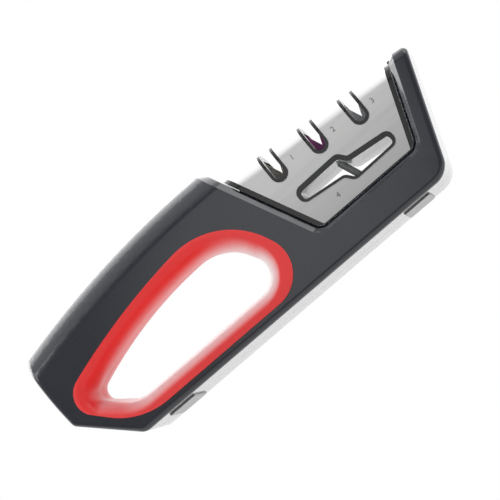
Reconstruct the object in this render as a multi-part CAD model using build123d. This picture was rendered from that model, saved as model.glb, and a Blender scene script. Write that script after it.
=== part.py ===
"""Manual knife and scissors sharpener with a hand hole and a lift-out sharpening cartridge.

Side view sizes run along +X from the handle end and up from the underside of the housing.
The thickness runs along Y, with the parting line of both pairs of halves at y = 0.
"""
import os
from math import cos, hypot, radians, tan

from build123d import *

# Housing, side view
handle_length = 143.9       # from the handle end to the foot of the notch
handle_height = 75.4        # crown of the handle where it meets the notch
handle_end_height = 62.5    # crown at the handle end
handle_crown_rise = 3.85    # how far the crown bulges above its own chord
handle_end_bulge = 1.0      # how far the end face bulges past its corners
handle_end_lean = 1.1       # lower end corner stands in by this much
end_chamfer_height = 23.5
end_chamfer_run = 24.75
front_wall_foot = 3.4       # heel corner past the end of the notch floor
front_wall_height = 57.8
front_wall_lean = 21.4      # degrees from upright
top_slope = 5.67            # degrees, cartridge top and front wall top fall towards the heel
chamfer_corner_round = 4.0
toe_round = 6.0
heel_round = 10.5

# Housing, thickness
body_thickness = 48.0
side_draft = 7.1            # degrees, both sides lean in towards the top
top_round = 15.0
front_wall_round = 6.0
edge_round = 2.5
wall = 2.4
parting_gap = 0.2

# Notch that the cartridge drops into
notch_floor_length = 54.9
notch_floor_height = 18.2
notch_lean = 25.2
notch_corner_round = 5.5
notch_bevel = 2.7
key_height = 1.3            # tongue round the notch that keeps the cartridge centred
key_width = 6.0
key_rise = 39.4             # top of the tongue above the notch floor
key_clearance = 0.2

# Hand hole and its soft lining: corners of the red rim on the side face
rim_tip = (1.45, 33.0)
rim_heel = (28.25, 4.5)
rim_shoulder_lead = (-31.35, 54.6)  # these two run from the foot of the notch
rim_corner_lead = (-9.25, 4.5)
rim_crown_rise = 5.1        # how far the upper side bulges off its chord
rim_tip_round = 9.8
rim_shoulder_round = 37.5
rim_corner_round = 16.8
rim_heel_round = 36.0
# How far the edge of the open hole stands inside each of those corners
hole_tip_inset = (11.2, -4.3)
hole_shoulder_inset = (-9.3, -10.3)
hole_corner_inset = (-13.8, 9.3)
hole_heel_inset = (3.0, 9.3)
hole_crown_rise = 5.2
hole_tip_round = 4.5
hole_shoulder_round = 24.0
hole_corner_round = 9.5
hole_heel_round = 18.0
lining_skin = 2.0
lining_proud = 0.3
lining_roll = 7.0           # soft edge that the fingers curl round: its reach on the side face
lining_roll_depth = 15.0    # and into the hand hole

# Feet
foot_length = 14.5
foot_width = 29.0
foot_thickness = 2.0
foot_proud = 0.8
foot_round = 2.0
foot_edge_round = 0.3
foot_clearance = 0.1
handle_foot_inset = 18.6    # centre of each foot, from the corner of the underside next to it
head_foot_inset = 19.55

# Housing screws, put in from the rear
screw_shank = 3.0
screw_pilot = 2.6
screw_hole = 3.4
screw_head = 5.6
screw_head_height = 2.0
screw_head_round = 0.9
screw_head_bore = 6.4
screw_seat = 4.0            # from the parting line to the seat of the head
screw_reach = 9.5           # from the parting line to the tip
pilot_depth = 11.0
recess_reach = 0.62         # the driver's cross, as shares of the head's diameter
recess_width = 0.16
recess_depth = 0.2
front_boss = 6.8
rear_boss = 9.4
lower_screws = 3
lower_screw_height = 9.3
lower_screw_lead = 10.95    # first one before the notch floor, last one before the heel
lower_screw_tail = 12.25
upper_screw_drop = 15.5     # below the crown
end_screw_place = 12.4
middle_screw_place = 64.9
notch_screw_lead = 36.95

# Cartridge
cartridge_gap = 0.5
cartridge_recess = 2.0      # side of the cartridge behind the side of the housing
cartridge_height = 44.3     # from the notch floor to the top above the first knife slot
cartridge_top_round = 9.0
cartridge_wall = 2.0
cover_thickness = 0.8
cover_gap = 0.25
cover_hem = 0.3
rail_width = 2.0

# Knife slots and their sharpening slabs
first_slot_lead = 1.4       # from the foot of the notch to the first slot
slot_pitch = 21.8
slot_depth = 16.8
slot_width = 5.4
lip_width = 1.45
lip_proud = 0.4
lip_gap = 0.1
relief = 1.1                # the slot is wider than its lip by this much on each side, behind the skin
relief_depth = 3.0
relief_wall = 1.2
slab_width = 4.5
slab_thickness = 3.2
slab_above = 8.6            # slab length above and below the crossing
slab_below = 5.4
slab_tilt = 22.0            # degrees from upright
slab_parting = 0.2
slab_fit = 0.05
crossing_rise = 5.6         # crossing of the slabs above the foot of the slot
holder_width = 17.2
holder_thickness = 15.0
holder_below = 2.5          # from the foot of the slot down, and up, to the ends of the block
holder_above = 13.8
holder_fit = 0.1
socket_wall = 1.2

# Scissors slot: two long lobes that step past each other at the ceramic rod
scissors_slot_lead = 25.8   # its centre, from the foot of the notch and above the floor
scissors_slot_rise = 13.9
scissors_lip_width = 1.85
scissors_lip_shift = 0.73   # the open slot lies this much low in its lip
lobe_reach = 24.8
lobe_height = 6.95
lobe_end_drop = 0.5
step_outer = (0.2, 7.5)
step_inner = (3.5, 3.25)
lobe_end_round = 3.6
step_outer_round = 4.0
step_inner_round = 2.0
rod_diameter = 3.3
rod_length = 16.0
rod_lean = 20.5
rod_sink = 0.5              # along its own line, below the centre of the slot
rod_fit = 0.05
rod_boss = 6.0
rod_boss_reach = 8.6

# Cartridge screws, under the steel cover
small_shank = 2.2
small_pilot = 1.9
small_hole = 2.5
small_head = 4.0
small_head_height = 1.5
small_head_round = 0.6
small_head_bore = 4.6
small_seat = 3.0
small_reach = 6.5
small_pilot_depth = 8.0
small_front_boss = 4.6
small_rear_boss = 6.2
left_screw_inset = 5.6      # from the notch wall, and above the floor
left_screw_rise = 19.8
right_screw_inset = 6.8
right_screw_rise = 23.8
floor_screw_rise = 6.1

big = 400.0                 # longer than the whole part, for cutting tools
shade_tilt = tan(radians(side_draft))
front_lean = tan(radians(front_wall_lean))
notch_slant = tan(radians(notch_lean))
slope = tan(radians(top_slope))
notch_start = handle_length
notch_end = notch_start + notch_floor_length
heel_length = notch_end + front_wall_foot
key_top = notch_floor_height + key_rise
cartridge_top = notch_floor_height + cartridge_height
first_slot = notch_start + first_slot_lead
scissors_slot_place = notch_start + scissors_slot_lead
scissors_slot_height = notch_floor_height + scissors_slot_rise
rim_shoulder = (notch_start + rim_shoulder_lead[0], rim_shoulder_lead[1])
rim_corner = (notch_start + rim_corner_lead[0], rim_corner_lead[1])
toe_length = handle_end_lean + handle_end_bulge - 0.5 + end_chamfer_run
handle_foot_place = toe_length + handle_foot_inset
head_foot_place = heel_length - head_foot_inset


def half_thickness(height, inset=0.0):
    """Distance from the parting plane to the leaning side at one height."""
    return body_thickness / 2 - inset - height * shade_tilt


def through(face):
    """A side-view face pushed right through the thickness."""
    return extrude(Plane.XZ * face, amount=big / 2, both=True)


def slice_y(low, high):
    return Pos(0, (low + high) / 2, 0) * Box(2 * big, high - low, 2 * big)


def wedge(inset, squash=1.0):
    """Everything between the two leaning sides, moved in by an inset and pressed flat by a share."""
    foot = squash * half_thickness(-big / 8, inset)
    crown = squash * half_thickness(big / 4, inset)
    outline = Polyline((-foot, -big / 8), (foot, -big / 8), (crown, big / 4), (-crown, big / 4), close=True)
    return extrude(Plane.YZ * make_face(outline), amount=big, both=True)


def side_edges(shape, x, height, inset=0.0):
    """The edge nearest to a place on the front side, and its mirror image on the rear side."""
    depth = half_thickness(height, inset)
    return [shape.edges().sort_by_distance((x, side * depth, height))[0] for side in (-1, 1)]


def round_corner(face, point, radius):
    corner = face.vertices().sort_by_distance((point[0], point[1], 0))[0]
    return fillet(corner, radius)


def moved(point, step):
    return (point[0] + step[0], point[1] + step[1])


def bulge(start, end, rise):
    """An arc that bulges off its chord to the left by a rise, going from start to end."""
    run, climb = end[0] - start[0], end[1] - start[1]
    length = hypot(run, climb)
    middle = ((start[0] + end[0]) / 2, (start[1] + end[1]) / 2)
    return ThreePointArc(start, moved(middle, (-climb / length * rise, run / length * rise)), end)


def notch_left(height):
    return notch_start - (height - notch_floor_height) * notch_slant


def notch_right(height):
    return notch_end + (height - notch_floor_height) * front_lean


def cylinder_y(x, height, diameter, low, high):
    """A round bar along Y between two depths."""
    return Pos(x, (low + high) / 2, height) * Rot(90, 0, 0) * Cylinder(diameter / 2, high - low)


def front_half(shape):
    return shape & slice_y(-big / 2, -parting_gap / 2)


def rear_half(shape):
    return shape & slice_y(parting_gap / 2, big / 2)


# Housing

def housing_face():
    end_low = (handle_end_lean + handle_end_bulge - 0.5, end_chamfer_height)
    end_high = (handle_end_bulge - 0.5, handle_end_height)
    end_mid = (0.0, (end_chamfer_height + handle_end_height) / 2)
    crown_end = (notch_left(handle_height), handle_height)
    crown_mid = (
        (end_high[0] + crown_end[0]) / 2,
        (end_high[1] + crown_end[1]) / 2 + handle_crown_rise,
    )
    floor_left = (notch_start, notch_floor_height)
    floor_right = (notch_end, notch_floor_height)
    wall_inner = (notch_right(front_wall_height), front_wall_height)
    wall_drop = (heel_length - notch_end + notch_floor_height * front_lean) * slope
    wall_outer_height = front_wall_height - wall_drop
    wall_outer = (heel_length + wall_outer_height * front_lean, wall_outer_height)
    heel = (heel_length, 0.0)
    toe = (toe_length, 0.0)
    outline = [
        ThreePointArc(end_low, end_mid, end_high),
        ThreePointArc(end_high, crown_mid, crown_end),
        Polyline(crown_end, floor_left, floor_right, wall_inner, wall_outer, heel, toe, end_low),
    ]
    face = make_face(outline)
    face = round_corner(face, floor_left, notch_corner_round)
    face = round_corner(face, floor_right, notch_corner_round)
    face = round_corner(face, heel, heel_round)
    face = round_corner(face, toe, toe_round)
    return round_corner(face, end_low, chamfer_corner_round)


def crown_height(x):
    """Height of the crown, read off a straight line between its two ends plus the bulge at mid."""
    share = x / notch_left(handle_height)
    chord = handle_end_height + (handle_height - handle_end_height) * share
    return chord + 4 * handle_crown_rise * share * (1 - share)


def housing_form(inset):
    """The closed body of the housing with its rounded top edges, moved in by an inset."""
    face = housing_face()
    if inset:
        face = offset(face, amount=-inset)
    form = through(face) & wedge(inset)
    crown_x = notch_left(handle_height) / 2
    form = fillet(side_edges(form, crown_x, crown_height(crown_x) - inset, inset), top_round - inset)
    wall_x = (notch_right(front_wall_height) + heel_length + front_wall_height * front_lean) / 2
    return fillet(side_edges(form, wall_x, front_wall_height - inset, inset), front_wall_round - inset)


def rim_face():
    """Outline of the red rim on the side face."""
    outline = [
        bulge(rim_tip, rim_shoulder, rim_crown_rise),
        Polyline(rim_shoulder, rim_corner, rim_heel, rim_tip),
    ]
    face = make_face(outline)
    face = round_corner(face, rim_tip, rim_tip_round)
    face = round_corner(face, rim_shoulder, rim_shoulder_round)
    face = round_corner(face, rim_corner, rim_corner_round)
    return round_corner(face, rim_heel, rim_heel_round)


def hole_face():
    """Outline of the open hand hole."""
    tip = moved(rim_tip, hole_tip_inset)
    shoulder = moved(rim_shoulder, hole_shoulder_inset)
    corner = moved(rim_corner, hole_corner_inset)
    heel = moved(rim_heel, hole_heel_inset)
    face = make_face([bulge(tip, shoulder, hole_crown_rise), Polyline(shoulder, corner, heel, tip)])
    face = round_corner(face, tip, hole_tip_round)
    face = round_corner(face, shoulder, hole_shoulder_round)
    face = round_corner(face, corner, hole_corner_round)
    return round_corner(face, heel, hole_heel_round)


def rolled_block(grow, inset):
    """Everything between the sides round a hand hole grown by an amount, with the hole's edges rolled in.

    The roll is a quarter ellipse: a round made while the block is pressed flat, then stretched again.
    """
    squash = lining_roll / lining_roll_depth
    face = hole_face()
    if grow:
        face = offset(face, amount=grow)
    block = wedge(inset, squash) - through(face)
    foot = moved(rim_heel, hole_heel_inset)
    x, height = (foot[0] + rim_corner[0]) / 2, foot[1] - grow
    depth = squash * half_thickness(height, inset)
    mouth = [block.edges().sort_by_distance((x, side * depth, height))[0] for side in (-1, 1)]
    block = fillet(mouth, lining_roll - squash * (inset + lining_proud))
    return scale(block, by=(1, 1 / squash, 1))


def lining_seat():
    """The space that the lining fills, hand hole and all."""
    return (through(rim_face()) & wedge(-lining_proud)) - rolled_block(lining_skin, lining_skin)


def lining():
    return lining_seat() & rolled_block(0.0, -lining_proud)


def notch_face():
    """The notch in side view, open at the top, with its rounded floor corners."""
    top = big / 4
    floor_left = (notch_start, notch_floor_height)
    floor_right = (notch_end, notch_floor_height)
    outline = Polyline((notch_left(top), top), floor_left, floor_right, (notch_right(top), top), close=True)
    face = make_face(outline)
    face = round_corner(face, floor_left, notch_corner_round)
    return round_corner(face, floor_right, notch_corner_round)


def key_band(clearance):
    """The tongue round the notch, or with a clearance the groove for it."""
    inner = offset(notch_face(), amount=-(key_height + clearance))
    band = through(notch_face()) - through(inner)
    width = key_width / 2 + clearance
    cap = Pos(0, 0, key_top + clearance - big) * Box(2 * big, 2 * width, 2 * big)
    return band & cap


def housing_screw_places():
    upper = [end_screw_place, middle_screw_place, notch_start - notch_screw_lead]
    first, last = notch_start - lower_screw_lead, heel_length - lower_screw_tail
    lower = [first + i * (last - first) / (lower_screws - 1) for i in range(lower_screws)]
    return [(x, crown_height(x) - upper_screw_drop) for x in upper] + [(x, lower_screw_height) for x in lower]


def cartridge_screw_places():
    left, right, low = [notch_floor_height + rise for rise in (left_screw_rise, right_screw_rise, floor_screw_rise)]
    return [
        (notch_left(left) + left_screw_inset, left),
        (notch_right(right) - right_screw_inset, right),
        (first_slot + slot_pitch / 2, low),
    ]


def cross_recess(x, height, head, top):
    """The driver's cross in a screw head whose top lies at a depth."""
    depth = head * recess_depth
    arm = head * recess_reach
    blade = Box(arm, depth, head * recess_width) + Box(head * recess_width, depth, arm)
    return Pos(x, top - depth / 2, height) * blade


def pan_screw(x, height, shank, head, head_height, seat, reach, head_round):
    """A pan-head screw along Y with its head towards the rear."""
    body = cylinder_y(x, height, shank, -reach, seat)
    cap = cylinder_y(x, height, head, seat, seat + head_height)
    rim = cap.faces().sort_by(Axis.Y)[-1].edges()
    return body + fillet(rim, head_round) - cross_recess(x, height, head, seat + head_height)


def foot_places():
    return (handle_foot_place, head_foot_place)


def foot_block(x, clearance, low):
    """A rounded pad under the base, or with a clearance the pocket for it."""
    height = foot_thickness - foot_proud - low
    block = Box(foot_length + 2 * clearance, foot_width + 2 * clearance, height)
    block = fillet(block.edges().filter_by(Axis.Z), foot_round)
    return Pos(x, 0, low + height / 2) * block


def foot(x):
    pad = foot_block(x, 0.0, -foot_proud)
    return fillet(pad.faces().sort_by(Axis.Z)[0].edges(), foot_edge_round)


def housing_solid():
    outer = housing_form(0.0)
    notch_mid = (notch_floor_height + handle_height) / 2
    outer = chamfer(side_edges(outer, notch_left(notch_mid), notch_mid), notch_bevel)
    end_mid = (end_chamfer_height + handle_end_height) / 2
    outer = fillet(side_edges(outer, 0.0, end_mid), edge_round)
    cavity = housing_form(wall)
    cavity -= through(offset(rim_face(), amount=wall)) - rolled_block(lining_skin + wall, lining_skin + wall)
    shell = outer - cavity
    for x, height in housing_screw_places():
        post = cylinder_y(x, height, front_boss, -big / 8, 0) + cylinder_y(x, height, rear_boss, 0, big / 8)
        shell += post & outer
    shell -= lining_seat()
    shell += key_band(0.0)
    for x in foot_places():
        shell -= foot_block(x, foot_clearance, -wall)
    for x, height in housing_screw_places():
        shell -= cylinder_y(x, height, screw_pilot, -pilot_depth, 0)
        shell -= cylinder_y(x, height, screw_hole, 0, screw_seat)
        shell -= cylinder_y(x, height, screw_head_bore, screw_seat, big / 8)
    return shell


# Cartridge

def top_height(x):
    return cartridge_top - (x - first_slot) * slope


def bent_form(inset):
    """Everything under the sloping, rounded-over top of the cartridge, moved in by an inset."""
    start, end = notch_left(cartridge_top) - wall, notch_right(cartridge_top) + wall
    low = -big / 8
    top = [(start, top_height(start) - inset), (end, top_height(end) - inset)]
    face = make_face(Polyline((start, low), *top, (end, low), close=True))
    form = through(face) & wedge(cartridge_recess + inset)
    middle = (start + end) / 2
    bends = side_edges(form, middle, top_height(middle) - inset, cartridge_recess + inset)
    return fillet(bends, cartridge_top_round - inset)


def cartridge_face(inset):
    return offset(notch_face(), amount=-(cartridge_gap + inset))


def cover_band(side_gap):
    """The strip between the two side rails that the steel cover lies in."""
    left = cartridge_gap + rail_width + side_gap
    top, low = big / 4, 0.0
    left_shift = left / cos(radians(notch_lean))
    right_shift = left / cos(radians(front_wall_lean))
    outline = Polyline(
        (notch_left(low) + left_shift, low),
        (notch_left(top) + left_shift, top),
        (notch_right(top) - right_shift, top),
        (notch_right(low) - right_shift, low),
        close=True,
    )
    return make_face(outline)


def slot_places():
    return [first_slot + i * slot_pitch for i in range(3)]


def slot_foot(x):
    return top_height(x) - slot_depth


def knife_slot_face(x, margin):
    """One upright slot, open at the top, measured to its inner wall plus a margin."""
    half = slot_width / 2 + margin
    foot_height = slot_foot(x) + lip_width - margin + half
    shaft = Pos(x, foot_height + big / 8) * Rectangle(2 * half, big / 4)
    return shaft + Pos(x, foot_height) * Circle(half)


def scissors_lip_face(gap):
    """Outline of the lip round the two-lobed slot, the same when turned half a turn, out by a gap."""
    half_outline = [
        (-lobe_reach, -lobe_end_drop),
        (-lobe_reach, lobe_height),
        step_outer,
        step_inner,
    ]
    turned = [(-x, -y) for x, y in half_outline]
    face = make_face(Polyline(*half_outline, *turned, close=True))
    rounds = (lobe_end_round, lobe_end_round, step_outer_round, step_inner_round)
    for sign in (-1, 1):
        for (x, y), radius in zip(half_outline, rounds):
            face = round_corner(face, (sign * x, sign * y), radius)
    if gap:
        face = offset(face, amount=gap)
    return Pos(scissors_slot_place, scissors_slot_height) * face


def scissors_hole_face():
    """The open slot inside that lip, which is wider above the slot than below it."""
    return Pos(0, -scissors_lip_shift) * offset(scissors_lip_face(0.0), amount=-scissors_lip_width)


def lips(gap):
    """All four slots with their lips, out by a gap, as one tool through the thickness."""
    tool = through(scissors_lip_face(gap))
    for x in slot_places():
        tool += through(knife_slot_face(x, lip_width + gap))
    return tool


def open_slots():
    """All four slots, the upright ones wider behind the skin."""
    tool = through(scissors_hole_face())
    inner = bent_form(relief_depth)
    for x in slot_places():
        tool += through(knife_slot_face(x, 0.0))
        tool += through(knife_slot_face(x, relief)) & inner
    return tool


def holder_block(x, clearance):
    base = slot_foot(x)
    low, high = base - holder_below - clearance, base + holder_above + clearance
    width, thickness = holder_width + 2 * clearance, holder_thickness + 2 * clearance
    return Pos(x, 0, (low + high) / 2) * Box(width, thickness, high - low)


def slab_block(x, side, clearance, extra=0.0):
    """A sharpening slab: its working edge runs through the crossing at the slab tilt.

    side -1 is the slab that leans left and lies in front, 1 leans right and lies behind.
    """
    length = slab_above + slab_below + extra
    width = slab_width + 2 * clearance
    thickness = slab_thickness + 2 * clearance
    block = Box(width, thickness, length)
    across = side * slab_width / 2
    along = (slab_above + extra - slab_below) / 2
    depth = side * (slab_parting + slab_thickness) / 2
    place = Pos(x, depth, slot_foot(x) + crossing_rise) * Rot(0, side * slab_tilt, 0)
    return place * Pos(across, 0, along) * block


def holder(x):
    block = holder_block(x, 0.0) - through(knife_slot_face(x, relief))
    for side in (-1, 1):
        block -= slab_block(x, side, slab_fit, extra=holder_width)
    return block


def rod_bar(diameter, length):
    place = Pos(scissors_slot_place, 0, scissors_slot_height) * Rot(0, -rod_lean, 0)
    return place * Pos(0, 0, -rod_sink) * Cylinder(diameter / 2, length)


def steel_cover():
    sheet = through(cover_band(cover_gap) & cartridge_face(cover_hem))
    sheet = sheet & (bent_form(0.0) - bent_form(cover_thickness))
    return sheet - lips(lip_gap)


def cartridge_solid():
    full = through(cartridge_face(0.0)) & bent_form(0.0)
    pocket = through(cover_band(0.0)) & (bent_form(0.0) - bent_form(cover_thickness))
    core = full - pocket
    core += lips(0.0) & bent_form(-lip_proud) & through(cartridge_face(rail_width))
    inner = cover_thickness + cartridge_wall
    cavity = through(cartridge_face(cartridge_wall)) & bent_form(inner)
    cavity -= through(scissors_lip_face(0.0))
    for x in slot_places():
        cavity -= through(knife_slot_face(x, relief + relief_wall))
        cavity -= holder_block(x, holder_fit + socket_wall)
    cavity -= rod_bar(rod_boss, 2 * rod_boss_reach)
    cavity -= key_band(key_clearance + cartridge_wall)
    for x, height in cartridge_screw_places():
        cavity -= cylinder_y(x, height, small_front_boss, -big / 8, 0)
        cavity -= cylinder_y(x, height, small_rear_boss, 0, big / 8)
    core -= cavity
    core -= open_slots()
    for x in slot_places():
        core -= holder_block(x, holder_fit)
    core -= rod_bar(rod_diameter + 2 * rod_fit, rod_length + 2 * rod_fit)
    core -= key_band(key_clearance)
    for x, height in cartridge_screw_places():
        core -= cylinder_y(x, height, small_pilot, -small_pilot_depth, 0)
        core -= cylinder_y(x, height, small_hole, 0, small_seat)
        core -= cylinder_y(x, height, small_head_bore, small_seat, big / 8)
    return core


def whole_part():
    housing = housing_solid()
    soft = lining()
    cartridge = cartridge_solid()
    nodes = {
        "front_shell": front_half(housing),
        "rear_shell": rear_half(housing),
        "front_grip_lining": front_half(soft),
        "rear_grip_lining": rear_half(soft),
        "handle_end_foot": foot(handle_foot_place),
        "head_end_foot": foot(head_foot_place),
        "cartridge_front": front_half(cartridge),
        "cartridge_rear": rear_half(cartridge),
        "steel_cover": steel_cover(),
        "scissors_rod": rod_bar(rod_diameter, rod_length),
    }
    for stage, x in zip(("coarse", "medium", "fine"), slot_places()):
        nodes[stage + "_holder"] = holder(x)
        nodes[stage + "_slab_left"] = slab_block(x, -1, 0.0)
        nodes[stage + "_slab_right"] = slab_block(x, 1, 0.0)
    nodes["housing_screws"] = Compound([
        pan_screw(x, height, screw_shank, screw_head, screw_head_height, screw_seat, screw_reach, screw_head_round)
        for x, height in housing_screw_places()
    ])
    nodes["cartridge_screws"] = Compound([
        pan_screw(x, height, small_shank, small_head, small_head_height, small_seat, small_reach, small_head_round)
        for x, height in cartridge_screw_places()
    ])
    return nodes


# The origin lies under the middle of the part, on the surface that the feet stand on
pieces = whole_part()
span = pieces["front_shell"].bounding_box()
origin = Pos(-(span.min.X + span.max.X) / 2, 0, foot_proud)

os.makedirs("parts", exist_ok=True)
for name, solid in pieces.items():
    export_step(origin * solid, f"parts/{name}.step")
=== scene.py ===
import math

import bmesh
import bpy
from mathutils import Matrix, Vector


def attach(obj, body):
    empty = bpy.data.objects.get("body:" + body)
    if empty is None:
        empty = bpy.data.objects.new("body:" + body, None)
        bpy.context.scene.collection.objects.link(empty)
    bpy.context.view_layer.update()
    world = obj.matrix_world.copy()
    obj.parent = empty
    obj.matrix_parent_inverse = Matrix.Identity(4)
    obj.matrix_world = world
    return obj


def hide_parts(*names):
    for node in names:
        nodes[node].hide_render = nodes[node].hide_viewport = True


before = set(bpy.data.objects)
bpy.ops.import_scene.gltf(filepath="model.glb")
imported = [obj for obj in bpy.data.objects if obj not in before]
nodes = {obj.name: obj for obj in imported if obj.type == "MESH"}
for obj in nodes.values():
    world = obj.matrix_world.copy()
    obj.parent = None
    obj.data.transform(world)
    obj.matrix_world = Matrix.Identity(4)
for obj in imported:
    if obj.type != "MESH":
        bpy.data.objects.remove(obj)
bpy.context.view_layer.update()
scene = bpy.context.scene
print("frame loaded:", len(nodes), "nodes")


# the photographed view: from the front, a little to the right and below, with the camera rolled

cameraSettings = {
    "azimuth": 7.0,             # degrees, as are the next two
    "elevation": -7.9,
    "roll": -39.9065,
    "distance": 0.8415,
    "target": (0.00271, -0.024, 0.0319),
    "lens": 138.02,
    "sensor": 36.0,
    "nearClip": 0.01,
    "farClip": 20,
}


def makeCamera(settings):
    azimuth, elevation, roll = (math.radians(settings[key]) for key in ("azimuth", "elevation", "roll"))
    back = Vector((
        math.sin(azimuth) * math.cos(elevation),
        -math.cos(azimuth) * math.cos(elevation),
        math.sin(elevation),
    ))
    level = (-back).cross(Vector((0, 0, 1))).normalized()
    rise = level.cross(-back)
    right = math.cos(roll) * level + math.sin(roll) * rise
    upward = -math.sin(roll) * level + math.cos(roll) * rise
    data = bpy.data.cameras.new("photoCamera")
    data.lens = settings["lens"]
    data.sensor_width = settings["sensor"]
    data.clip_start = settings["nearClip"]
    data.clip_end = settings["farClip"]
    camera = bpy.data.objects.new("photoCamera", data)
    scene.collection.objects.link(camera)
    place = Vector(settings["target"]) + back * settings["distance"]
    turn = Matrix((right, upward, back)).transposed().to_4x4()
    camera.matrix_world = Matrix.Translation(place) @ turn
    scene.camera = camera


makeCamera(cameraSettings)


# shader building blocks

def addNode(tree, kind, **values):
    node = tree.nodes.new(kind)
    for key, value in values.items():
        setattr(node, key, value)
    return node


def setSockets(node, values):
    for label, value in values.items():
        node.inputs[label].default_value = value
    return node


# a source is a plain value or another node's socket
def feedSockets(tree, node, sources):
    for socket, source in zip(node.inputs, sources):
        if isinstance(source, (int, float)):
            socket.default_value = source
        else:
            tree.links.new(source, socket)
    return node.outputs[0]


def addMath(tree, operation, *sources):
    return feedSockets(tree, addNode(tree, "ShaderNodeMath", operation=operation), sources)


def mixShaders(tree, share, first, second):
    return feedSockets(tree, addNode(tree, "ShaderNodeMixShader"), (share, first, second))


def addRange(tree, source, start, end, low, high, easing="LINEAR"):
    spread = addNode(tree, "ShaderNodeMapRange", interpolation_type=easing)
    setSockets(spread, {"From Min": start, "From Max": end, "To Min": low, "To Max": high})
    tree.links.new(source, spread.inputs["Value"])
    return spread.outputs["Result"]


def softStep(tree, source, start, end, low=0.0, high=1.0):
    return addRange(tree, source, start, end, low, high, "SMOOTHSTEP")


def splitAxes(tree, source):
    axes = addNode(tree, "ShaderNodeSeparateXYZ")
    tree.links.new(source, axes.inputs[0])
    return axes.outputs


def dotWith(tree, source, direction):
    dot = addNode(tree, "ShaderNodeVectorMath", operation="DOT_PRODUCT")
    dot.inputs[1].default_value = direction
    tree.links.new(source, dot.inputs[0])
    return dot.outputs["Value"]


def inReflections(tree, path):
    glossy, passed = path.outputs["Is Glossy Ray"], path.outputs["Is Transmission Ray"]
    return addMath(tree, "MAXIMUM", glossy, passed)


# light: a white room whose front wall is dimmer in reflections, a key box, a ceiling panel and
# two side boxes

roomSettings = {
    "fillColour": (0.97, 0.985, 1.0), "fill": 0.62,
    "frontWall": 0.34,              # what glossy surfaces see in front, where the background isn't
    "backFrom": -0.45, "backTo": 0.3,
    "topFrom": 0.36, "topTo": 0.88,
    "glowDirection": (-0.09, -0.92, 0.38), "glowEdge": 0.992, "glow": 0.9,
}


def makeWorld(values):
    world = bpy.data.worlds.new("whiteRoom")
    world.use_nodes = True
    scene.world = world
    tree = world.node_tree
    tree.nodes.clear()
    seen = setSockets(addNode(tree, "ShaderNodeBackground"), {"Color": (1, 1, 1, 1)})
    mirrored = setSockets(addNode(tree, "ShaderNodeBackground"), {"Color": (1, 1, 1, 1)})
    fill = addNode(tree, "ShaderNodeBackground")
    setSockets(fill, {"Color": values["fillColour"] + (1,), "Strength": values["fill"]})
    direction = addNode(tree, "ShaderNodeTexCoord").outputs["Generated"]
    axes = splitAxes(tree, direction)
    back = softStep(tree, axes["Y"], values["backFrom"], values["backTo"])
    top = softStep(tree, axes["Z"], values["topFrom"], values["topTo"])
    along = dotWith(tree, direction, Vector(values["glowDirection"]).normalized())
    front = values["frontWall"]
    glow = softStep(tree, along, values["glowEdge"], 1.0, front, front + values["glow"])
    walls = addMath(tree, "MAXIMUM", addMath(tree, "MAXIMUM", back, top), glow)
    tree.links.new(walls, mirrored.inputs["Strength"])
    path = addNode(tree, "ShaderNodeLightPath")
    inner = mixShaders(tree, inReflections(tree, path), fill.outputs[0], mirrored.outputs[0])
    outer = mixShaders(tree, path.outputs["Is Camera Ray"], inner, seen.outputs[0])
    tree.links.new(outer, addNode(tree, "ShaderNodeOutputWorld").inputs["Surface"])


# radiance is power / (pi * area): 1.9 from the key, 0.9 overhead, 3.2 at the left and 1.6 at the
# right
lampSettings = {
    "keyBox": {"place": (-0.95, -0.8, 0.95), "size": (0.7, 0.7), "power": 3.0},
    "ceilingPanel": {"place": (0.0, 0.75, 1.05), "size": (1.9, 1.7), "power": 9.0},
    "leftBox": {"place": (-0.9, 0.3, 0.8), "size": (0.7, 0.7), "power": 5.0},
    "rightBox": {"place": (1.0, -0.1, 0.75), "size": (0.6, 0.6), "power": 1.8},
}
lampTarget = (0.0, 0.0, 0.03)


def makeLamp(name, settings):
    data = bpy.data.lights.new(name, "AREA")
    data.shape = "RECTANGLE"
    data.size, data.size_y = settings["size"]
    data.energy = settings["power"]
    lamp = bpy.data.objects.new(name, data)
    scene.collection.objects.link(lamp)
    place = Vector(settings["place"])
    aim = (place - Vector(lampTarget)).to_track_quat("Z", "Y")
    lamp.matrix_world = Matrix.Translation(place) @ aim.to_matrix().to_4x4()


makeWorld(roomSettings)
for lampName, lampValues in lampSettings.items():
    makeLamp(lampName, lampValues)
scene.view_settings.view_transform = "Standard"
print("camera and lamps placed")


# grain of moulded plastic and lines of brushed steel, shared by the materials

grainSettings = {
    "sockets": {"Grain Scale": 2600.0, "Patch Scale": 38.0},
    "grain": {"Detail": 3.0, "Roughness": 0.62},
    "patch": {"Detail": 4.0, "Roughness": 0.55},
    "smudge": {"Detail": 6.0, "Roughness": 0.7, "Distortion": 0.6},
    "smudgeScale": 2.7,         # times the patches
    "pitHeight": 0.45,          # of the grain's
}
brushSettings = {
    "sockets": {"Line Scale": 900.0, "Stretch": 0.02},
    "lines": {"Detail": 4.0, "Roughness": 0.75},
    "streaks": {"Detail": 2.0, "Roughness": 0.5},
    "streakScale": 0.22,        # times the lines
}


def newGroup(name, sockets, results):
    tree = bpy.data.node_groups.new(name, "ShaderNodeTree")
    tree.interface.new_socket("Vector", in_out="INPUT", socket_type="NodeSocketVector")
    for label, value in sockets.items():
        socket = tree.interface.new_socket(label, in_out="INPUT", socket_type="NodeSocketFloat")
        socket.default_value = value
    for label in results:
        tree.interface.new_socket(label, in_out="OUTPUT", socket_type="NodeSocketFloat")
    return tree, tree.nodes.new("NodeGroupInput").outputs, tree.nodes.new("NodeGroupOutput").inputs


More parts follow.
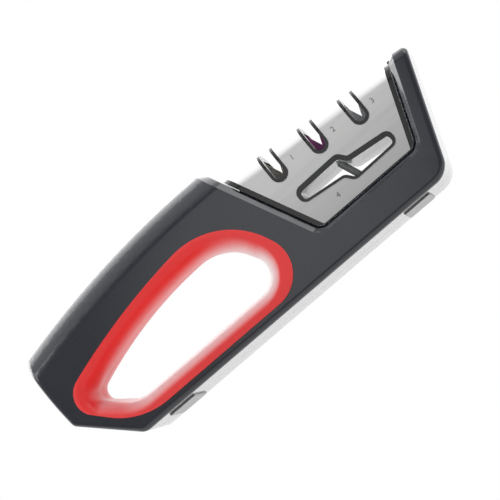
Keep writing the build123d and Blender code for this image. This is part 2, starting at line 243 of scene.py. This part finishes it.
def addTexture(tree, kind, vector, scale, settings):
    texture = setSockets(addNode(tree, kind), settings)
    tree.links.new(vector, texture.inputs["Vector"])
    tree.links.new(scale, texture.inputs["Scale"])
    return texture.outputs


def makeGrainGroup(values):
    tree, entry, leave = newGroup("mouldedGrain", values["sockets"], ("Height", "Tone", "Smudge"))
    vector, grainScale, patchScale = entry["Vector"], entry["Grain Scale"], entry["Patch Scale"]
    smudgeScale = addMath(tree, "MULTIPLY", patchScale, values["smudgeScale"])
    grain = addTexture(tree, "ShaderNodeTexNoise", vector, grainScale, values["grain"])
    pits = addTexture(tree, "ShaderNodeTexVoronoi", vector, grainScale, {})
    patch = addTexture(tree, "ShaderNodeTexNoise", vector, patchScale, values["patch"])
    smudge = addTexture(tree, "ShaderNodeTexNoise", vector, smudgeScale, values["smudge"])
    height = addMath(tree, "MULTIPLY_ADD", pits["Distance"], values["pitHeight"], grain["Fac"])
    for label, source in (("Height", height), ("Tone", patch["Fac"]), ("Smudge", smudge["Fac"])):
        tree.links.new(source, leave[label])
    return tree


def makeBrushGroup(values):
    tree, entry, leave = newGroup("brushedLines", values["sockets"], ("Lines", "Streaks"))
    squeeze = setSockets(addNode(tree, "ShaderNodeCombineXYZ"), {"Y": 1.0, "Z": 1.0})
    tree.links.new(entry["Stretch"], squeeze.inputs["X"])
    stretched = addNode(tree, "ShaderNodeVectorMath", operation="MULTIPLY")
    vector = feedSockets(tree, stretched, (entry["Vector"], squeeze.outputs[0]))
    streakScale = addMath(tree, "MULTIPLY", entry["Line Scale"], values["streakScale"])
    lines = addTexture(tree, "ShaderNodeTexNoise", vector, entry["Line Scale"], values["lines"])
    streaks = addTexture(tree, "ShaderNodeTexNoise", vector, streakScale, values["streaks"])
    tree.links.new(lines["Fac"], leave["Lines"])
    tree.links.new(streaks["Fac"], leave["Streaks"])
    return tree


grainGroup = makeGrainGroup(grainSettings)
brushGroup = makeBrushGroup(brushSettings)


def newMaterial(name):
    material = bpy.data.materials.new(name)
    material.use_nodes = True
    tree = material.node_tree
    place = addNode(tree, "ShaderNodeTexCoord").outputs
    return material, tree, tree.nodes["Principled BSDF"], place


def useGroup(tree, group, place, settings):
    node = addNode(tree, "ShaderNodeGroup", node_tree=group)
    tree.links.new(place["Object"], node.inputs["Vector"])
    return setSockets(node, settings).outputs


# where the noise turns from dark to pale and from smooth to rough
noiseSpans = {
    "moulded": (0.25, 0.75), "steel": (0.3, 0.7), "grit": (0.35, 1.0),
    "roughness": (0.3, 0.7),
}


def addTone(tree, source, span, values):
    ramp = addNode(tree, "ShaderNodeValToRGB")
    colours = (values["dark"], values["pale"])
    for stop, position, colour in zip(ramp.color_ramp.elements, span, colours):
        stop.position = position
        stop.color = colour + (1,)
    tree.links.new(source, ramp.inputs["Fac"])
    return ramp.outputs["Color"]


def addRoughness(tree, source, surface, values):
    rough = addRange(tree, source, *noiseSpans["roughness"], *values["roughness"])
    tree.links.new(rough, surface.inputs["Roughness"])


def addBump(tree, source, surface, values):
    bump = addNode(tree, "ShaderNodeBump")
    setSockets(bump, {"Strength": values["bump"], "Distance": values["depth"]})
    tree.links.new(source, bump.inputs["Height"])
    tree.links.new(bump.outputs["Normal"], surface.inputs["Normal"])


# painted sheen and painted reflection: pales the colour where the surface turns away from the eye, and
# more where it leans towards the lit side
def addPaintedSheen(tree, place, colour, values):
    turned = addNode(tree, "ShaderNodeLayerWeight").outputs["Facing"]
    sheenAmount = addMath(tree, "ADD", turned, dotWith(tree, place["Normal"], values["litSide"]))
    sheenBlend = addNode(tree, "ShaderNodeMix", data_type="RGBA")
    sheenBlend.inputs["B"].default_value = values["colour"] + (1,)
    tree.links.new(softStep(tree, sheenAmount, values["from"], values["to"]), sheenBlend.inputs["Factor"])
    tree.links.new(colour, sheenBlend.inputs["A"])
    return sheenBlend.outputs["Result"]


def makeMoulded(name, values):
    material, tree, surface, place = newMaterial(name)
    scales = {"Grain Scale": values["grain"], "Patch Scale": values["patch"]}
    grain = useGroup(tree, grainGroup, place, scales)
    colour = addTone(tree, grain["Tone"], noiseSpans["moulded"], values)
    # painted sheen and painted reflection at grazing angles, where the finish asks for it
    if "paintedSheen" in values:
        colour = addPaintedSheen(tree, place, colour, values["paintedSheen"])
    tree.links.new(colour, surface.inputs["Base Color"])
    addRoughness(tree, grain["Smudge"], surface, values)
    addBump(tree, grain["Height"], surface, values)
    surface.inputs["Specular IOR Level"].default_value = values["specular"]
    surface.inputs["Sheen Weight"].default_value = values["sheen"]
    surface.inputs["Sheen Roughness"].default_value = values["sheenRoughness"]
    surface.inputs["Coat Weight"].default_value = values["coat"]
    surface.inputs["Coat Roughness"].default_value = values["coatRoughness"]
    return material


housingFinish = {
    "dark": (0.0075, 0.0095, 0.0175), "pale": (0.0105, 0.0125, 0.0215),
    "grain": 1500.0, "patch": 30.0, "depth": 0.00001, "bump": 0.03,
    "roughness": (0.24, 0.32), "specular": 0.35,
    "sheen": 0.0, "sheenRoughness": 0.3, "coat": 1.0, "coatRoughness": 0.1,
    # painted reflection: the charcoal pales to grey-white at grazing angles, at the edges and underside
    "paintedSheen": {"colour": (0.85, 0.86, 0.9), "litSide": (0.0, 0.0, 0.0), "from": 0.7, "to": 1.1},
}
liningFinish = {
    "dark": (0.83, 0.027, 0.027), "pale": (0.88, 0.033, 0.032),
    "grain": 1500.0, "patch": 34.0, "depth": 0.00001, "bump": 0.03,
    "roughness": (0.3, 0.4), "specular": 0.35,
    "sheen": 0.2, "sheenRoughness": 0.4, "coat": 0.2, "coatRoughness": 0.2,
    # painted sheen and painted light: pales to pink-white at grazing angles, most of all where it leans
    # up and to the handle end, the side the left box lights
    "paintedSheen": {"colour": (0.97, 0.9, 0.9), "litSide": (-0.652, 0.0, 0.545), "from": -0.02, "to": 1.62},
}
coreFinish = {
    "dark": (0.003, 0.0035, 0.0045), "pale": (0.005, 0.0055, 0.0065),
    "grain": 1800.0, "patch": 45.0, "depth": 0.00001, "bump": 0.03,
    "roughness": (0.2, 0.28), "specular": 0.3,
    "sheen": 1.0, "sheenRoughness": 0.15, "coat": 0.6, "coatRoughness": 0.06,
    # painted reflection: the slot walls, seen at grazing angles, pale to near white
    "paintedSheen": {"colour": (0.9, 0.9, 0.9), "litSide": (0.0, 0.0, 0.0), "from": 0.7, "to": 0.95},
}
holderFinish = {
    "dark": (0.008, 0.008, 0.009), "pale": (0.013, 0.013, 0.014),
    "grain": 2800.0, "patch": 60.0, "depth": 0.00004, "bump": 0.25,
    "roughness": (0.4, 0.5), "specular": 0.5,
    "sheen": 0.0, "sheenRoughness": 0.3, "coat": 0.0, "coatRoughness": 0.1,
}
footFinish = {
    "dark": (0.012, 0.012, 0.012), "pale": (0.02, 0.02, 0.021),
    "grain": 1600.0, "patch": 70.0, "depth": 0.00001, "bump": 0.05,
    "roughness": (0.3, 0.4), "specular": 1.0,
    "sheen": 0.8, "sheenRoughness": 0.3, "coat": 1.0, "coatRoughness": 0.1,
}

housingPlastic = makeMoulded("charcoalPlastic", housingFinish)
softLining = makeMoulded("softRedLining", liningFinish)
corePlastic = makeMoulded("blackCorePlastic", coreFinish)
holderPlastic = makeMoulded("holderPlastic", holderFinish)
footRubber = makeMoulded("footRubber", footFinish)


steelFinish = {
    "dark": (0.91, 0.92, 0.91), "pale": (0.985, 0.99, 0.98),
    "lines": 1500.0, "stretch": 0.02, "roughness": (0.3, 0.38), "bump": 0.08, "depth": 0.00001,
    # painted shade: darker towards the notch floor and brighter towards the top, standing in for a
    # reflection that brightens upwards
    "paintedShade": {"low": 0.018, "high": 0.052, "least": 0.77, "most": 1.03},
}
screwFinish = {
    "dark": (0.36, 0.36, 0.35), "pale": (0.55, 0.54, 0.5),
    "lines": 1200.0, "stretch": 1.0, "roughness": (0.25, 0.42), "bump": 0.12, "depth": 0.00002,
}


# painted shade: scales the colour by height, darker low down
def addPaintedShade(tree, place, colour, values):
    height = splitAxes(tree, place["Object"])["Z"]
    level = addRange(tree, height, values["low"], values["high"], values["least"], values["most"])
    shadedColour = addNode(tree, "ShaderNodeVectorMath", operation="SCALE")
    tree.links.new(colour, shadedColour.inputs[0])
    tree.links.new(level, shadedColour.inputs["Scale"])
    return shadedColour.outputs[0]


def makeSteel(name, values):
    material, tree, surface, place = newMaterial(name)
    scales = {"Line Scale": values["lines"], "Stretch": values["stretch"]}
    brush = useGroup(tree, brushGroup, place, scales)
    colour = addTone(tree, brush["Streaks"], noiseSpans["steel"], values)
    if "paintedShade" in values:
        colour = addPaintedShade(tree, place, colour, values["paintedShade"])
    tree.links.new(colour, surface.inputs["Base Color"])
    addRoughness(tree, brush["Lines"], surface, values)
    addBump(tree, brush["Lines"], surface, values)
    surface.inputs["Metallic"].default_value = 1.0
    return material


coverSteel = makeSteel("brushedSteel", steelFinish)
screwSteel = makeSteel("platedSteel", screwFinish)


gritFinish = {
    "coarse": {
        "dark": (0.3, 0.27, 0.23), "pale": (0.7, 0.65, 0.58), "roughness": (0.35, 0.75),
        "scale": 2600.0, "bump": 0.9, "depth": 0.00012,
    },
    "medium": {
        "dark": (0.45, 0.08, 0.32), "pale": (0.7, 0.17, 0.52), "roughness": (0.45, 0.7),
        "scale": 4200.0, "bump": 0.6, "depth": 0.00006,
    },
    "fine": {
        "dark": (0.8, 0.84, 0.88), "pale": (0.9, 0.92, 0.94), "roughness": (0.3, 0.45),
        "scale": 5200.0, "bump": 0.25, "depth": 0.00003,
    },
    "rod": {
        "dark": (0.6, 0.61, 0.62), "pale": (0.74, 0.75, 0.76), "roughness": (0.35, 0.5),
        "scale": 4800.0, "bump": 0.1, "depth": 0.00002,
    },
}
gritClouds = {"sockets": {"Scale": 300.0, "Detail": 5.0}, "cellTone": 0.6}


def makeGrit(name, values):
    material, tree, surface, place = newMaterial(name)
    cells = setSockets(addNode(tree, "ShaderNodeTexVoronoi"), {"Scale": values["scale"]})
    clouds = setSockets(addNode(tree, "ShaderNodeTexNoise"), gritClouds["sockets"])
    for texture in (cells, clouds):
        tree.links.new(place["Object"], texture.inputs["Vector"])
    distance, cloud = cells.outputs["Distance"], clouds.outputs["Fac"]
    mixed = addMath(tree, "MULTIPLY_ADD", distance, gritClouds["cellTone"], cloud)
    tree.links.new(addTone(tree, mixed, noiseSpans["grit"], values), surface.inputs["Base Color"])
    addRoughness(tree, cloud, surface, values)
    addBump(tree, distance, surface, values)
    return material


gritMaterials = {stage: makeGrit(stage + "Abrasive", values) for stage, values in gritFinish.items()}
print("materials made")


# CAD nodes whose shape and facets are right keep their mesh and get a finish

def dress(node, material):
    slots = nodes[node].data.materials
    slots.clear()
    slots.append(material)


for stage in ("coarse", "medium", "fine"):
    dress(stage + "_holder", holderPlastic)
    dress(stage + "_slab_left", gritMaterials[stage])
    dress(stage + "_slab_right", gritMaterials[stage])
dress("scissors_rod", gritMaterials["rod"])
dress("handle_end_foot", footRubber)
dress("head_end_foot", footRubber)
dress("housing_screws", screwSteel)
dress("cartridge_screws", screwSteel)
print("CAD nodes dressed")


# the big shells are smooth copies of their CAD nodes

shellCopies = {
    "frontHousing": {
        "node": "front_shell", "body": "housing",
        "slot": "housing_plastic", "finish": housingPlastic,
    },
    "rearHousing": {
        "node": "rear_shell", "body": "housing",
        "slot": "housing_plastic", "finish": housingPlastic,
    },
    "frontLining": {
        "node": "front_grip_lining", "body": "housing",
        "slot": "soft_lining", "finish": softLining,
    },
    "rearLining": {
        "node": "rear_grip_lining", "body": "housing",
        "slot": "soft_lining", "finish": softLining,
    },
    "coreFront": {
        "node": "cartridge_front", "body": "cartridge",
        "slot": "cartridge_plastic", "finish": corePlastic,
    },
    "coreRear": {
        "node": "cartridge_rear", "body": "cartridge",
        "slot": "cartridge_plastic", "finish": corePlastic,
    },
    "steelSaddle": {
        "node": "steel_cover", "body": "cartridge",
        "slot": "brushed_cover", "finish": coverSteel,
    },
}
smoothing = {"sharpAngle": 28.0, "mergeDistance": 1e-6, "largeFaceWeight": 80}


def smoothCopy(name, values):
    mesh = nodes[values["node"]].data.copy()
    mesh.name = name
    piece = bpy.data.objects.new(name, mesh)
    scene.collection.objects.link(piece)
    work = bmesh.new()
    work.from_mesh(mesh)
    bmesh.ops.remove_doubles(work, verts=work.verts, dist=smoothing["mergeDistance"])
    limit = math.radians(smoothing["sharpAngle"])
    for face in work.faces:
        face.smooth = True
    for edge in work.edges:
        edge.smooth = len(edge.link_faces) == 2 and edge.calc_face_angle(0.0) < limit
    work.to_mesh(mesh)
    work.free()
    mesh.materials.clear()
    mesh.materials.append(values["finish"])
    even = piece.modifiers.new("evenNormals", "WEIGHTED_NORMAL")
    even.keep_sharp = True
    even.weight = smoothing["largeFaceWeight"]
    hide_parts(values["node"])
    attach(piece, values["body"])


for copyName, copyValues in shellCopies.items():
    smoothCopy(copyName, copyValues)
print("shells copied and smoothed")


# plain numbers beside the slots, printed on the leaning face of the steel

numberFinish = {
    "dark": (0.1, 0.1, 0.1), "pale": (0.16, 0.16, 0.16),
    "grain": 2000.0, "patch": 90.0, "depth": 0.00001, "bump": 0.02,
    "roughness": (0.4, 0.5), "specular": 0.4,
    "sheen": 0.0, "sheenRoughness": 0.3, "coat": 0.0, "coatRoughness": 0.1,
}
numberSettings = {
    "places": {
        "1": (0.0425, 0.0521), "2": (0.0643, 0.0495), "3": (0.0856, 0.0477),
        "4": (0.0476, 0.0254),
    },
    "size": 0.0037, "thickness": 0.00003, "curveSteps": 4,
    # the steel's face: its depth where it would meet the underside, and its lean in degrees
    "faceDepth": 0.022, "faceLean": 7.1, "baseLevel": 0.0008,
}


def makeNumber(figure, place, values, finish):
    curve = bpy.data.curves.new("number" + figure, "FONT")
    curve.body = figure
    curve.align_x = "CENTER"
    curve.align_y = "CENTER"
    curve.size = values["size"]
    curve.extrude = values["thickness"]
    curve.resolution_u = values["curveSteps"]
    text = bpy.data.objects.new("numberText", curve)
    scene.collection.objects.link(text)
    depsgraph = bpy.context.evaluated_depsgraph_get()
    mesh = bpy.data.meshes.new_from_object(text.evaluated_get(depsgraph))
    bpy.data.objects.remove(text)
    lean = math.radians(values["faceLean"])
    depth = values["faceDepth"] - (place[1] - values["baseLevel"]) * math.tan(lean)
    right, rise = Vector((1, 0, 0)), Vector((0, math.sin(lean), math.cos(lean)))
    turn = Matrix((right, rise, right.cross(rise))).transposed().to_4x4()
    mesh.transform(Matrix.Translation((place[0], -depth, place[1])) @ turn)
    mesh.materials.clear()
    mesh.materials.append(finish)
    piece = bpy.data.objects.new("number" + figure, mesh)
    scene.collection.objects.link(piece)
    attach(piece, "cartridge")


numberInk = makeMoulded("numberInk", numberFinish)
for numberFigure, numberPlace in numberSettings["places"].items():
    makeNumber(numberFigure, numberPlace, numberSettings, numberInk)
print("numbers printed")


# floor: white from above, open from below so that a low camera sees the room

floorSettings = {
    "half": 3.0, "level": -0.0003, "colour": (0.9, 0.9, 0.9), "glow": 0.35,
    # what glossy surfaces see of it: dim in front of the object, white behind
    "mirrored": {"from": -0.045, "to": -0.022, "front": 0.35, "back": 1.0},
}


def makeFloorPaint(values):
    material = bpy.data.materials.new("paleFloor")
    material.use_nodes = True
    tree = material.node_tree
    tree.nodes.clear()
    matte = addNode(tree, "ShaderNodeBsdfDiffuse")
    setSockets(matte, {"Color": values["colour"] + (1,)})
    white = setSockets(addNode(tree, "ShaderNodeEmission"), {"Strength": 1.0})
    clear = addNode(tree, "ShaderNodeBsdfTransparent")
    path = addNode(tree, "ShaderNodeLightPath")
    lit = mixShaders(tree, values["glow"], matte.outputs[0], white.outputs[0])
    seen = mixShaders(tree, path.outputs["Is Camera Ray"], matte.outputs[0], lit)
    span = values["mirrored"]
    depth = splitAxes(tree, addNode(tree, "ShaderNodeTexCoord").outputs["Object"])["Y"]
    dimmer = addNode(tree, "ShaderNodeEmission")
    strength = softStep(tree, depth, span["from"], span["to"], span["front"], span["back"])
    tree.links.new(strength, dimmer.inputs["Strength"])
    mirrored = mixShaders(tree, inReflections(tree, path), seen, dimmer.outputs[0])
    fromBelow = addNode(tree, "ShaderNodeNewGeometry").outputs["Backfacing"]
    sides = mixShaders(tree, fromBelow, mirrored, clear.outputs[0])
    tree.links.new(sides, addNode(tree, "ShaderNodeOutputMaterial").inputs["Surface"])
    return material


def makeFloor(values):
    work = bmesh.new()
    bmesh.ops.create_grid(work, x_segments=1, y_segments=1, size=values["half"])
    bmesh.ops.translate(work, verts=work.verts, vec=(0, 0, values["level"]))
    mesh = bpy.data.meshes.new("paleFloor")
    work.to_mesh(mesh)
    work.free()
    floor = bpy.data.objects.new("paleFloor", mesh)
    scene.collection.objects.link(floor)
    mesh.materials.append(makeFloorPaint(values))


makeFloor(floorSettings)
print("floor laid")
